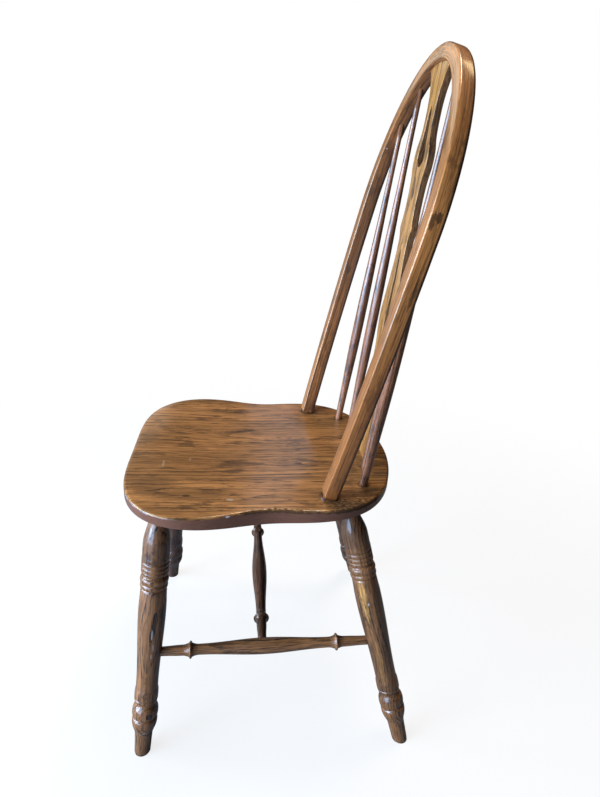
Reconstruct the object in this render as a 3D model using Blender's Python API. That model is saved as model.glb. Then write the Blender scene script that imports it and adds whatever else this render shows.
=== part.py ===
"""Bow-back Windsor side chair in stained oak.

A shaped plank seat carries everything. Four turned legs rise into blind sockets under
it, tied by two side stretchers and a cross stretcher. The bent bow, four turned
spindles and a pierced splat stand in sockets on top. Metres, +Z up, the front faces
-Y, the sitter's left is +X, and the origin is on the floor under the middle of the box.
"""
import math

import bmesh
import bpy
import numpy as np
from mathutils import Matrix, Vector

CLEARANCE = 0.0003

# Seat plank
SEAT_HEIGHT = 0.429
SEAT_THICKNESS = 0.032
SEAT_WIDTH = 0.405
SEAT_DEPTH = 0.412
SEAT_EDGE = 0.0150
SEAT_EDGE_AT_WAIST = 0.0085
SEAT_EDGE_ROUND = 0.004
SEAT_UNDERCUT = 0.032
SEAT_SIDES = 64
SEAT_WAVES = (1.0, 0.0126, 0.0361, -0.0381, -0.0884, -0.0023, 0.0182)
SADDLE_DEPTH = 0.005
SADDLE_REACH = 0.155
SADDLE_FORWARD = 0.036

# Turned legs, with heights measured up from the floor or down from the seat
LEG_SIDES = 20
LEG_SOCKET_DEPTH = 0.022
LEG_TENON_RADIUS = 0.0127
FRONT_LEG_INSET = (0.0685, 0.0568)
REAR_LEG_INSET = (0.0767, 0.0800)
FRONT_SPLAY = (0.0705, 0.0313)
REAR_SPLAY = (0.0803, 0.1075)
FOOT_RADIUS = 0.0122
FOOT_TOP = 0.031
FOOT_TOP_RADIUS = 0.0133
ANKLE_HEIGHT = 0.0630
ANKLE_GROOVE_RADIUS = 0.0179
LOWER_ROLL_RADIUS = 0.0190
UPPER_ROLL_RADIUS = 0.0196
ANKLE_COVE_HEIGHT = 0.0885
ANKLE_COVE_RADIUS = 0.0144
COLLAR_RADIUS = 0.0178
COLLAR_HEIGHT = 0.024
SHANK_RADIUS = 0.0164
SWELL_RADIUS = 0.0202
SWELL_DROP = 0.153
BEAD_DROP = 0.109
LOWER_BEAD_RADIUS = 0.0201
LOWER_BEAD_HEIGHT = 0.0083
UPPER_BEAD_RADIUS = 0.0207
UPPER_BEAD_HEIGHT = 0.0105
NECK_RADIUS = 0.0173
VASE_DROP = 0.058
VASE_RADIUS = 0.0201
SCORE_DEPTH = 0.0012
SCORE_SPACING = 0.0071
REAR_RINGS_LIFT = 0.0075

# Stretchers
STRETCHER_SIDES = 16
SIDE_STRETCHER_FRONT_HEIGHT = 0.1713
SIDE_STRETCHER_REAR_HEIGHT = 0.1777
SIDE_STRETCHER_RADIUS = 0.0120
SIDE_STRETCHER_WAIST = 0.0078
SIDE_STRETCHER_TENON = 0.0068
SIDE_BEAD_FROM_END = 0.0598
SIDE_BEAD_RADIUS = 0.0128
CROSS_STRETCHER_PLACE = 0.483
CROSS_STRETCHER_RADIUS = 0.0130
CROSS_STRETCHER_WAIST = 0.0080
CROSS_STRETCHER_TENON = 0.0068
CROSS_BEAD_FROM_END = 0.0535
CROSS_BEAD_RADIUS = 0.0126
STRETCHER_BEAD_HALF = 0.0016
STRETCHER_FLARE = 0.0105
STRETCHER_FLARE_RISE = 0.0024
STOP_IN_FRONT_LEG = 0.0015
STOP_IN_REAR_LEG = 0.0075
CROSS_STOP_IN_STRETCHER = 0.0030

# Bent bow
BOW_WIDTH = 0.3764
BOW_FACE = 0.0257
BOW_FACE_AT_CROWN = 0.0200
BOW_THICKNESS = 0.0213
BOW_EDGE_ROUND = 0.0028
BOW_RISE = 0.6002
BOW_SPRING = 0.379
BOW_LEAN = math.radians(12.8)
BOW_SIDE_INSET = 0.0530
BOW_BACK_INSET = 0.1155
BOW_TENON_RADIUS = 0.0088
BOW_TENON_DEPTH = 0.020
BOW_STEPS = 26

# Spindles: where each stands, as shares of the bow's half width below and above
SPINDLE_SIDES = 12
SPINDLE_PLACES = {"inner": (0.448, 0.450, 0.0470), "outer": (0.789, 0.716, 0.0595)}
SPINDLE_FOOT_RADIUS = 0.0060
SPINDLE_SWELL_RADIUS = 0.0083
SPINDLE_SWELL_PLACE = 0.33
SPINDLE_TIP_RADIUS = 0.0041
SPINDLE_TENON_DEPTH = 0.015

# Pierced splat: half widths at heights above the seat
SPLAT_THICKNESS = 0.010
SPLAT_BACK_INSET = 0.0390
SPLAT_BEHIND_BOW = 0.0010
SPLAT_TENON_DEPTH = 0.012
SPLAT_TENON_IN_BOW = 0.008
SPLAT_OUTLINE = (
    (0.000, 0.0380), (0.030, 0.0450), (0.060, 0.0455), (0.100, 0.0355), (0.145, 0.0275),
    (0.175, 0.0290), (0.205, 0.0370), (0.225, 0.0395), (0.250, 0.0350), (0.285, 0.0275),
    (0.325, 0.0215), (0.345, 0.0225), (0.358, 0.0280), (0.372, 0.0245), (0.392, 0.0225),
    (0.425, 0.0250), (0.440, 0.0300), (0.451, 0.0310), (0.463, 0.0290), (0.478, 0.0215),
    (0.500, 0.0180), (0.526, 0.0195), (0.548, 0.0285), (0.5655, 0.0395),
)
SPLAT_UPPER_PIERCING = (
    (0.4405, 0.0), (0.447, 0.0115), (0.457, 0.0140), (0.468, 0.0115), (0.482, 0.0085),
    (0.500, 0.0065), (0.511, 0.0040), (0.519, 0.0),
)
SPLAT_LOWER_PIERCING = (
    (0.200, 0.0), (0.206, 0.0060), (0.216, 0.0075), (0.230, 0.0070), (0.262, 0.0055),
    (0.300, 0.0042), (0.322, 0.0025), (0.331, 0.0),
)

# Stained oak, as (red, green, blue, roughness) for each piece
OAK_SEAT = (0.22, 0.11, 0.040, 0.35)
OAK_TURNED = (0.17, 0.085, 0.032, 0.30)
OAK_BENT = (0.26, 0.13, 0.045, 0.32)
OAK_SPLAT = (0.30, 0.16, 0.060, 0.34)


def seat_outline(theta):
    """Plan of the seat: a circle waved into a broad front, a waist and a round back."""
    radius = sum(wave * np.cos(k * theta) for k, wave in enumerate(SEAT_WAVES))
    x, y = radius * np.sin(theta), -radius * np.cos(theta)
    fine = np.linspace(0, 2 * math.pi, 721)
    full = sum(wave * np.cos(k * fine) for k, wave in enumerate(SEAT_WAVES))
    wide = np.max(full * np.sin(fine))
    low, high = np.min(-full * np.cos(fine)), np.max(-full * np.cos(fine))
    x = x * SEAT_WIDTH / 2 / wide
    y = (y - (low + high) / 2) * SEAT_DEPTH / (high - low)
    return x, y


# The box runs from the seat's front edge to the back of the rear feet or of the bow
SEAT_BOTTOM = SEAT_HEIGHT - SEAT_THICKNESS
REAR_FOOT_Y = SEAT_DEPTH / 2 - REAR_LEG_INSET[1] + REAR_SPLAY[1]
FRONT_FOOT_Y = -(SEAT_DEPTH / 2 - FRONT_LEG_INSET[1] + FRONT_SPLAY[1])
BOW_FOOT_Y = SEAT_DEPTH / 2 - BOW_BACK_INSET
BOW_TOP_Y = (BOW_FOOT_Y + BOW_RISE * math.sin(BOW_LEAN)
             + BOW_THICKNESS / 2 * math.cos(BOW_LEAN))
BOX_BACK = max(REAR_FOOT_Y + FOOT_RADIUS, BOW_TOP_Y, SEAT_DEPTH / 2)
BOX_FRONT = min(FRONT_FOOT_Y - FOOT_RADIUS, -SEAT_DEPTH / 2)
MIDDLE_Y = (BOX_BACK + BOX_FRONT) / 2


def place(x, y, z):
    """A point given from the middle of the seat, in the chair's own frame."""
    return Vector((x, y - MIDDLE_Y, z))


def material(name, finish):
    """Plain Principled material with the stained oak's colour and gloss."""
    made = bpy.data.materials.new(name)
    made.use_nodes = True
    shader = made.node_tree.nodes["Principled BSDF"]
    shader.inputs["Base Color"].default_value = (*finish[:3], 1.0)
    shader.inputs["Roughness"].default_value = finish[3]
    shader.inputs["Metallic"].default_value = 0.0
    return made


def add_object(name, shape, finish=None, matrix=None):
    """Turn a bmesh into a named object; without a finish it is a hidden cutter."""
    bmesh.ops.recalc_face_normals(shape, faces=shape.faces)
    mesh = bpy.data.meshes.new(name)
    shape.to_mesh(mesh)
    shape.free()
    piece = bpy.data.objects.new(name, mesh)
    bpy.context.scene.collection.objects.link(piece)
    if matrix is not None:
        piece.matrix_world = matrix
    if finish is None:
        piece.hide_render = True
        piece.display_type = "WIRE"
    else:
        mesh.materials.append(material(name + "_oak", finish))
        mesh.shade_smooth()
        mesh.set_sharp_from_angle(angle=math.radians(35))
    return piece


def cut(piece, cutter):
    """Subtract one cutter from a piece with a live Boolean."""
    boolean = piece.modifiers.new(cutter.name, "BOOLEAN")
    boolean.operation = "DIFFERENCE"
    boolean.solver = "EXACT"
    boolean.object = cutter


def along(start, end):
    """Matrix whose origin is start and whose +Z runs towards end."""
    direction = (end - start).normalized()
    side = Vector((0, 1, 0)).cross(direction)
    if side.length < 0.5:
        side = Vector((0, 0, 1)).cross(direction)
    side.normalize()
    turn = Matrix((side, direction.cross(side), direction)).transposed()
    return Matrix.Translation(start) @ turn.to_4x4()


def turned(profile, sides):
    """Solid of revolution about Z from (height, radius) points, closed on its axis."""
    shape = bmesh.new()
    points = [(profile[0][0], 0.0), *profile, (profile[-1][0], 0.0)]
    verts = [shape.verts.new((radius, 0, height)) for height, radius in points]
    edges = [shape.edges.new(pair) for pair in zip(verts, verts[1:])]
    bmesh.ops.spin(shape, geom=verts + edges, cent=(0, 0, 0), axis=(0, 0, 1),
                   angle=2 * math.pi, steps=sides, use_merge=True)
    bmesh.ops.remove_doubles(shape, verts=shape.verts, dist=1e-6)
    return shape


def lofted(rings):
    """Skin closed rings of equal count, one after the next, and cap both ends."""
    shape = bmesh.new()
    loops = [[shape.verts.new(point) for point in ring] for ring in rings]
    for lower, upper in zip(loops, loops[1:]):
        for i in range(len(lower)):
            j = (i + 1) % len(lower)
            shape.faces.new((lower[i], lower[j], upper[j], upper[i]))
    shape.faces.new(loops[0])
    shape.faces.new(loops[-1])
    return shape


def socket(piece, name, matrix, radius, start, end, sides):
    """Bore a round hole for a tenon, aligned with the turned piece that enters it."""
    hole = [(start, radius + CLEARANCE), (end + CLEARANCE, radius + CLEARANCE)]
    cut(piece, add_object(name, turned(hole, sides), matrix=matrix))


def roll(low, high, edge, peak, steps=3):
    """Round bead on a turned profile: half an ellipse standing on its edge radius."""
    shares = [(i + 1) / (steps + 1) for i in range(steps)]
    return [(low + (high - low) * share,
             edge + (peak - edge) * math.sqrt(1 - (2 * share - 1) ** 2))
            for share in shares]


def ease(low, high, start, end, steps):
    """Smooth run of a turned profile from one radius to another, without its ends."""
    shares = [(i + 1) / (steps + 1) for i in range(steps)]
    return [(low + (high - low) * share,
             start + (end - start) * (1 - math.cos(math.pi * share)) / 2)
            for share in shares]


def leg_profile(lift):
    """Leg turning, foot to tenon, as heights above the floor and radii.

    The rings and the vase are set higher by the lift.
    """
    ankle, cove = ANKLE_HEIGHT, ANKLE_COVE_HEIGHT
    points = [(-0.012, FOOT_RADIUS), (0.004, FOOT_RADIUS), (FOOT_TOP, FOOT_TOP_RADIUS)]
    points += ease(FOOT_TOP, ankle - 0.007, FOOT_TOP_RADIUS, LOWER_ROLL_RADIUS, 3)
    points += [(ankle - 0.007, LOWER_ROLL_RADIUS), (ankle - 0.003, LOWER_ROLL_RADIUS - 0.0001)]
    points += [(ankle, ANKLE_GROOVE_RADIUS)]
    points += roll(ankle, cove - 0.006, ANKLE_GROOVE_RADIUS - 0.0010, UPPER_ROLL_RADIUS, 4)
    points += [(cove - 0.004, ANKLE_COVE_RADIUS + 0.0016), (cove, ANKLE_COVE_RADIUS)]

    collar = cove + COLLAR_HEIGHT
    points += [(cove + 0.003, COLLAR_RADIUS - 0.0013), (cove + 0.006, COLLAR_RADIUS - 0.0003)]
    points += [(cove + 0.008, COLLAR_RADIUS - SCORE_DEPTH), (cove + 0.010, COLLAR_RADIUS - 0.0001)]
    points += [(cove + 0.016, COLLAR_RADIUS), (collar - 0.001, COLLAR_RADIUS - 0.0004)]
    points += [(collar + 0.002, SHANK_RADIUS), (collar + 0.009, SHANK_RADIUS)]

    rings = SEAT_BOTTOM + lift
    swell, groove = rings - SWELL_DROP, rings - BEAD_DROP - LOWER_BEAD_HEIGHT
    points += ease(collar + 0.009, swell, SHANK_RADIUS, SWELL_RADIUS, 4)
    points += [(swell, SWELL_RADIUS), (swell + (groove - swell) * 0.6, SWELL_RADIUS - 0.0008)]
    points += [(groove - 0.002, LOWER_BEAD_RADIUS - 0.0002), (groove, NECK_RADIUS + 0.0004)]

    score, neck = groove + LOWER_BEAD_HEIGHT, groove + LOWER_BEAD_HEIGHT + UPPER_BEAD_HEIGHT
    points += roll(groove, score, NECK_RADIUS + 0.0002, LOWER_BEAD_RADIUS)
    points += [(score, LOWER_BEAD_RADIUS - SCORE_DEPTH)]
    points += roll(score, neck, NECK_RADIUS, UPPER_BEAD_RADIUS)
    points += [(neck, NECK_RADIUS), (neck + 0.002, NECK_RADIUS)]

    vase = rings - VASE_DROP
    points += [(neck + 0.0045, VASE_RADIUS - 0.0008)]
    for ring in (1, 2, 3):
        height = neck + 0.002 + ring * SCORE_SPACING
        points += [(height - 0.0012, VASE_RADIUS), (height, VASE_RADIUS - SCORE_DEPTH)]
        points += [(height + 0.0012, VASE_RADIUS)]
    points += [(vase - 0.012, VASE_RADIUS), (vase - 0.009, VASE_RADIUS - 0.0004)]
    points += [(vase, VASE_RADIUS - 0.0002), (vase + 0.008, VASE_RADIUS - 0.0003)]
    points += ease(vase + 0.008, SEAT_BOTTOM - 0.005, VASE_RADIUS - 0.0003, LEG_TENON_RADIUS, 4)
    points += [(SEAT_BOTTOM - 0.005, LEG_TENON_RADIUS)]
    return points


def leg_axis(inset, splay, front, side):
    """Foot on the floor and top at the seat's underside, on the leg's centre line."""
    toward = -1 if front else 1
    x = SEAT_WIDTH / 2 - inset[0]
    y = SEAT_DEPTH / 2 - inset[1]
    foot = place(side * (x + splay[0]), toward * (y + splay[1]), 0)
    top = place(side * x, toward * y, SEAT_BOTTOM)
    return foot, top


def at_height(axis, height):
    """Point of a leg's centre line at a height above the floor."""
    foot, top = axis
    return foot.lerp(top, height / SEAT_BOTTOM)


def make_leg(name, axis, lift):
    """Turn one leg, set it at its splay and saw its foot level with the floor."""
    foot, top = axis
    stretch = (top - foot).length / SEAT_BOTTOM
    tenon_end = (top - foot).length + LEG_SOCKET_DEPTH
    profile = [(height * stretch, radius) for height, radius in leg_profile(lift)]
    profile += [(tenon_end, LEG_TENON_RADIUS)]
    matrix = along(foot, top)
    shape = turned(profile, LEG_SIDES)
    level = matrix.inverted().to_3x3() @ Vector((0, 0, 1))
    sawn = bmesh.ops.bisect_plane(shape, geom=shape.verts[:] + shape.edges[:] + shape.faces[:],
                                  plane_co=(0, 0, 0), plane_no=level, clear_inner=True)
    rim = [part for part in sawn["geom_cut"] if isinstance(part, bmesh.types.BMEdge)]
    bmesh.ops.holes_fill(shape, edges=rim, sides=0)
    return add_object(name, shape, OAK_TURNED, matrix), matrix, tenon_end


def stretcher_profile(length, middle, waist, tenon, bead_from_end, bead_peak):
    """Stretcher turning, symmetric: a swelled middle, a bead and a thin end each way."""
    half = length / 2
    bead = half - bead_from_end
    low, high = bead - STRETCHER_BEAD_HALF, bead + STRETCHER_BEAD_HALF
    flare = waist + STRETCHER_FLARE_RISE
    right = [(0.0, middle)]
    right += ease(0.0, low - STRETCHER_FLARE, middle, waist, 3)
    right += [(low - STRETCHER_FLARE, waist)]
    right += [(low - STRETCHER_FLARE * 0.4, waist + STRETCHER_FLARE_RISE * 0.4)]
    right += [(low - 0.0006, flare), (low, bead_peak - 0.0010)]
    right += [(bead, bead_peak)]
    right += [(high, bead_peak - 0.0010), (high + 0.0006, flare)]
    right += [(high + STRETCHER_FLARE * 0.4, waist + STRETCHER_FLARE_RISE * 0.4)]
    right += [(high + STRETCHER_FLARE, waist)]
    right += [(high + (half - high) * 0.72, tenon), (half, tenon)]
    left = [(-height, radius) for height, radius in reversed(right[1:])]
    return [(height + half, radius) for height, radius in left + right]


def make_stretcher(name, start, end, stops, profile_sizes):
    """Turn a stretcher between two centre lines, short of each by its stop."""
    direction = (end - start).normalized()
    first, last = start + direction * stops[0], end - direction * stops[1]
    matrix = along(first, last)
    length = (last - first).length
    shape = turned(stretcher_profile(length, *profile_sizes), STRETCHER_SIDES)
    return add_object(name, shape, OAK_TURNED, matrix), matrix, length


def bow_point(x, rise, behind=0.0):
    """Point in the bow's leaning plane, from its across and along-the-plane places."""
    y = BOW_FOOT_Y + rise * math.sin(BOW_LEAN) + behind * math.cos(BOW_LEAN)
    z = SEAT_HEIGHT + rise * math.cos(BOW_LEAN) - behind * math.sin(BOW_LEAN)
    return place(x, y, z)


BOW_FOOT_X = SEAT_WIDTH / 2 - BOW_SIDE_INSET
BOW_HALF = (BOW_WIDTH - BOW_FACE) / 2
BOW_CROWN = BOW_RISE - BOW_FACE_AT_CROWN / 2 - BOW_SPRING


def bow_line():
    """Centre line of one side of the bow: a spreading leg, then a quarter ellipse."""
    rise = np.linspace(0, BOW_SPRING, BOW_STEPS // 2, endpoint=False)
    spread = 1 - (1 - rise / BOW_SPRING) ** 2
    leg = np.stack([BOW_FOOT_X + (BOW_HALF - BOW_FOOT_X) * spread, rise], axis=1)
    turn = np.linspace(0, math.pi / 2, BOW_STEPS)
    crown = np.stack([BOW_HALF * np.cos(turn), BOW_SPRING + BOW_CROWN * np.sin(turn)], axis=1)
    return np.concatenate([leg, crown])


def section(half_x, half_y, rounding):
    """Rounded rectangle of twelve points, anticlockwise."""
    points = []
    for corner in range(4):
        middle = math.radians(45 + 90 * corner)
        centre_x = math.copysign(half_x - rounding, math.cos(middle))
        centre_y = math.copysign(half_y - rounding, math.sin(middle))
        for step in (-1, 0, 1):
            angle = middle + math.radians(30 * step)
            points.append((centre_x + rounding * math.cos(angle),
                           centre_y + rounding * math.sin(angle)))
    return points


def bow_ring(centre, normal, outline):
    """Section of the bow set square to its line, normal pointing out in its plane."""
    return [bow_point(centre[0] + normal[0] * u, centre[1] + normal[1] * u, v)
            for u, v in outline]


def bow_tenon_rings(side, radius, depth):
    """Round tenon rings below one foot of the bow, shoulder first."""
    outline = section(radius, radius, radius)
    shoulder = BOW_THICKNESS / 2 * math.tan(BOW_LEAN) + CLEARANCE
    normal = (side, 0.0)
    foot = (side * BOW_FOOT_X, shoulder)
    return [bow_ring(foot, normal, outline),
            bow_ring((foot[0], -depth), normal, outline)]


def make_bow():
    """Sweep the rounded section round the bow, narrowing its face towards the crown."""
    right = bow_line()
    left = right[:-1][::-1] * np.array([-1, 1])
    line = np.concatenate([right, left])
    shoulder = BOW_THICKNESS / 2 * math.tan(BOW_LEAN) + CLEARANCE
    line[0, 1] = line[-1, 1] = shoulder
    tangent = np.gradient(line, axis=0)
    tangent[0] = (0.0, 1.0)
    tangent[-1] = (0.0, -1.0)
    tangent /= np.linalg.norm(tangent, axis=1)[:, None]
    normal = np.stack([tangent[:, 1], -tangent[:, 0]], axis=1)
    rings = []
    for centre, out in zip(line, normal):
        share = max(centre[1] - BOW_SPRING, 0) / BOW_CROWN
        face = BOW_FACE + (BOW_FACE_AT_CROWN - BOW_FACE) * share
        outline = section(face / 2, BOW_THICKNESS / 2, BOW_EDGE_ROUND)
        rings.append(bow_ring(centre, out, outline))
    start = bow_tenon_rings(1, BOW_TENON_RADIUS, BOW_TENON_DEPTH)
    finish = bow_tenon_rings(-1, BOW_TENON_RADIUS, BOW_TENON_DEPTH)
    return add_object("bow", lofted(start[::-1] + rings + finish), OAK_BENT)


def crown_rise(x, deeper=0.0):
    """Height along the bow's plane of the crown's inner edge, or deeper into the bow."""
    across = BOW_HALF - BOW_FACE / 2 + deeper
    up = BOW_CROWN - BOW_FACE_AT_CROWN / 2 + deeper
    return BOW_SPRING + up * math.sqrt(1 - (x / across) ** 2)


def spindle_axis(which, side):
    """Foot on the seat and tip on the bow's centre line for one spindle."""
    low_share, high_share, inset = SPINDLE_PLACES[which]
    foot = place(side * BOW_FOOT_X * low_share, SEAT_DEPTH / 2 - inset, SEAT_HEIGHT)
    x = BOW_HALF * high_share
    rise = BOW_SPRING + BOW_CROWN * math.sqrt(1 - high_share ** 2)
    return foot, bow_point(side * x, rise)


def make_spindle(name, axis):
    """Turn one spindle: thin foot, swell in its lower third, fine tip in the bow."""
    foot, tip = axis
    matrix = along(foot, tip)
    length = (tip - foot).length
    swell = length * SPINDLE_SWELL_PLACE
    slim = length * (SPINDLE_SWELL_PLACE + 0.60)
    profile = [(-SPINDLE_TENON_DEPTH, SPINDLE_FOOT_RADIUS), (0.004, SPINDLE_FOOT_RADIUS)]
    profile += ease(0.004, swell, SPINDLE_FOOT_RADIUS, SPINDLE_SWELL_RADIUS, 3)
    profile += [(swell, SPINDLE_SWELL_RADIUS)]
    profile += ease(swell, slim, SPINDLE_SWELL_RADIUS, SPINDLE_TIP_RADIUS, 4)
    profile += [(slim, SPINDLE_TIP_RADIUS), (length, SPINDLE_TIP_RADIUS)]
    shape = turned(profile, SPINDLE_SIDES)
    return add_object(name, shape, OAK_TURNED, matrix), matrix, length


def smooth_run(stations, steps):
    """Smooth curve through (height, half width) stations, sampled between each pair."""
    height, width = np.array(stations).T
    slope = np.gradient(width, height)
    rounded = [0] if width[0] == 0 else []
    points = []
    for i in range(len(height) - 1):
        span = height[i + 1] - height[i]
        for t in np.linspace(0, 1, steps, endpoint=False):
            if i in rounded:
                points.append((height[i] + span * t ** 2, width[i + 1] * t ** 0.9))
                continue
            blend = (2 * t ** 3 - 3 * t ** 2 + 1, t ** 3 - 2 * t ** 2 + t,
                     3 * t ** 2 - 2 * t ** 3, t ** 3 - t ** 2)
            value = (blend[0] * width[i] + blend[1] * span * slope[i]
                     + blend[2] * width[i + 1] + blend[3] * span * slope[i + 1])
            points.append((height[i] + span * t, float(value)))
    points.append((height[-1], width[-1]))
    return points


def splat_frame():
    """Matrix of the splat: origin on the seat, +Z up its centre plane, +Y behind it."""
    foot = place(0, SEAT_DEPTH / 2 - SPLAT_BACK_INSET, SEAT_HEIGHT)
    return along(foot, bow_point(0, crown_rise(0), SPLAT_BEHIND_BOW))


def crown_on_splat(matrix, x, deeper):
    """Height on the splat where the crown's inner edge lies, at one place across."""
    return (matrix.inverted() @ bow_point(x, crown_rise(x, deeper), SPLAT_BEHIND_BOW)).z


def splat_loop(matrix, grow=0.0):
    """Outline of the splat with its top arched into the bow and its foot in the seat."""
    reach = SPLAT_TENON_IN_BOW + grow
    top_width = SPLAT_OUTLINE[-1][1]
    side = [(h, w) for h, w in smooth_run(SPLAT_OUTLINE, 2) if h < SPLAT_OUTLINE[-1][0]]
    side = [(-SPLAT_TENON_DEPTH, SPLAT_OUTLINE[0][1])] + side
    widths = np.linspace(top_width, -top_width, 11)
    arch = [(crown_on_splat(matrix, x, reach), x) for x in widths]
    right = [(x + grow * 1.5, height) for height, x in side]
    crown = [(x + math.copysign(grow * 1.5, x), height) for height, x in arch]
    left = [(-x, height) for x, height in reversed(right)]
    return right + crown + left


def pierced_loop(stations):
    """Closed piercing, mirrored about the splat's middle."""
    run = smooth_run(stations, 2)
    return [(w, h) for h, w in run] + [(-w, h) for h, w in reversed(run[1:-1])]


def plate(loops, thickness):
    """Flat plate with holes: fill the loops in the XZ plane and extrude them."""
    shape = bmesh.new()
    edges = []
    for loop in loops:
        verts = [shape.verts.new((x, -thickness / 2, z)) for x, z in loop]
        edges += [shape.edges.new(pair) for pair in zip(verts, verts[1:] + verts[:1])]
    bmesh.ops.triangle_fill(shape, edges=edges, use_beauty=True, normal=(0, -1, 0))
    grown = bmesh.ops.extrude_face_region(shape, geom=shape.faces[:], use_keep_orig=True)
    moved = [part for part in grown["geom"] if isinstance(part, bmesh.types.BMVert)]
    bmesh.ops.translate(shape, verts=moved, vec=(0, thickness, 0))
    return shape


def make_splat(matrix):
    """Saw the pierced splat out of a thin board."""
    loops = [splat_loop(matrix), pierced_loop(SPLAT_UPPER_PIERCING),
             pierced_loop(SPLAT_LOWER_PIERCING)]
    return add_object("splat", plate(loops, SPLAT_THICKNESS), OAK_SPLAT, matrix)


def saddle(x, y):
    """Depth of the hollow in the seat's top: a smooth bowl that fades out at its rim."""
    share = (x ** 2 + (y + SADDLE_FORWARD) ** 2) / SADDLE_REACH ** 2
    return SADDLE_DEPTH * np.clip(1 - share, 0, 1) ** 2


def make_seat():
    """Shape the plank: saddled top, rounded rim, upright edge and undercut below."""
    theta = np.linspace(0, 2 * math.pi, SEAT_SIDES, endpoint=False)
    x, y = seat_outline(theta)
    size = np.hypot(x, y)
    waist = np.abs(np.sin(theta)) ** 12 * SEAT_EDGE_AT_WAIST
    edge = SEAT_EDGE + waist
    rings = []

    def ring(inward, drop):
        share = 1 - inward / size
        px, py = x * share, y * share
        z = SEAT_HEIGHT - drop - saddle(px, py)
        rings.append([place(*point) for point in zip(px, py, z)])

    for share in (0.12, 0.34, 0.54, 0.72, 0.87):
        ring(size * (1 - share), 0 * size)
    for angle in (0, 30, 60, 90):
        turn = math.radians(angle)
        ring(SEAT_EDGE_ROUND * (1 - math.sin(turn)) + 0 * size,
             SEAT_EDGE_ROUND * (1 - math.cos(turn)) + 0 * size)
    ring(0 * size, edge)
    ring(SEAT_UNDERCUT + 0 * size, SEAT_THICKNESS + 0 * size)
    for point in rings[-1]:
        point.z = SEAT_HEIGHT - SEAT_THICKNESS
    return add_object("seat", lofted(rings), OAK_SEAT)


def build():
    """Make every piece, then bore its sockets from the pieces that enter it."""
    for old in list(bpy.data.objects):
        bpy.data.objects.remove(old, do_unlink=True)
    seat = make_seat()
    bow = make_bow()
    for side, label in ((1, "left"), (-1, "right")):
        axes = {"front": leg_axis(FRONT_LEG_INSET, FRONT_SPLAY, True, side),
                "rear": leg_axis(REAR_LEG_INSET, REAR_SPLAY, False, side)}
        legs = {}
        for row, axis in axes.items():
            lift = REAR_RINGS_LIFT if row == "rear" else 0.0
            legs[row], matrix, end = make_leg(f"leg_{row}_{label}", axis, lift)
            start = end - LEG_SOCKET_DEPTH - SEAT_THICKNESS
            socket(seat, f"socket_leg_{row}_{label}", matrix, LEG_TENON_RADIUS, start, end,
                   LEG_SIDES)
        front = at_height(axes["front"], SIDE_STRETCHER_FRONT_HEIGHT)
        rear = at_height(axes["rear"], SIDE_STRETCHER_REAR_HEIGHT)
        sizes = (SIDE_STRETCHER_RADIUS, SIDE_STRETCHER_WAIST, SIDE_STRETCHER_TENON,
                 SIDE_BEAD_FROM_END, SIDE_BEAD_RADIUS)
        rail, matrix, length = make_stretcher(f"side_stretcher_{label}", front, rear,
                                              (STOP_IN_FRONT_LEG, STOP_IN_REAR_LEG), sizes)
        reach = SWELL_RADIUS * 2
        socket(legs["front"], f"socket_front_{label}", matrix, SIDE_STRETCHER_TENON,
               -CLEARANCE, reach, STRETCHER_SIDES)
        socket(legs["rear"], f"socket_rear_{label}", matrix, SIDE_STRETCHER_TENON,
               length - reach, length, STRETCHER_SIDES)
        if side == 1:
            left_rail, middle = rail, front.lerp(rear, CROSS_STRETCHER_PLACE)
        else:
            right_rail = rail
    opposite = Vector((-middle.x, middle.y, middle.z))
    sizes = (CROSS_STRETCHER_RADIUS, CROSS_STRETCHER_WAIST, CROSS_STRETCHER_TENON,
             CROSS_BEAD_FROM_END, CROSS_BEAD_RADIUS)
    _, matrix, length = make_stretcher("cross_stretcher", middle, opposite,
                                       (CROSS_STOP_IN_STRETCHER,) * 2, sizes)
    reach = SIDE_STRETCHER_RADIUS * 2
    socket(left_rail, "socket_cross_left", matrix, CROSS_STRETCHER_TENON, -CLEARANCE, reach,
           STRETCHER_SIDES)
    socket(right_rail, "socket_cross_right", matrix, CROSS_STRETCHER_TENON, length - reach,
           length, STRETCHER_SIDES)

    for side, label in ((1, "left"), (-1, "right")):
        hole = bow_tenon_rings(side, BOW_TENON_RADIUS + CLEARANCE, BOW_TENON_DEPTH + CLEARANCE)
        cut(seat, add_object(f"socket_bow_{label}", lofted(hole)))
        for which in SPINDLE_PLACES:
            axis = spindle_axis(which, side)
            _, matrix, length = make_spindle(f"spindle_{label}_{which}", axis)
            socket(seat, f"socket_foot_{label}_{which}", matrix, SPINDLE_FOOT_RADIUS,
                   -SPINDLE_TENON_DEPTH - CLEARANCE, SEAT_THICKNESS, SPINDLE_SIDES)
            socket(bow, f"socket_tip_{label}_{which}", matrix, SPINDLE_TIP_RADIUS,
                   length - 2 * BOW_FACE, length, SPINDLE_SIDES)

    matrix = splat_frame()
    make_splat(matrix)
    loop = splat_loop(matrix, CLEARANCE)
    top = [point for point in loop if point[1] > SPLAT_OUTLINE[-3][0]]
    cut(bow, add_object("mortise_bow", plate([top], SPLAT_THICKNESS + 2 * CLEARANCE), matrix=matrix))
    half = SPLAT_OUTLINE[0][1] + CLEARANCE
    low = -SPLAT_TENON_DEPTH - CLEARANCE
    foot = [(-half, low), (half, low), (half, SEAT_THICKNESS), (-half, SEAT_THICKNESS)]
    cut(seat, add_object("mortise_seat", plate([foot], SPLAT_THICKNESS + 2 * CLEARANCE), matrix=matrix))


build()
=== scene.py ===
import math

import bmesh
import bpy
import numpy as np
from mathutils import Matrix, Vector


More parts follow.
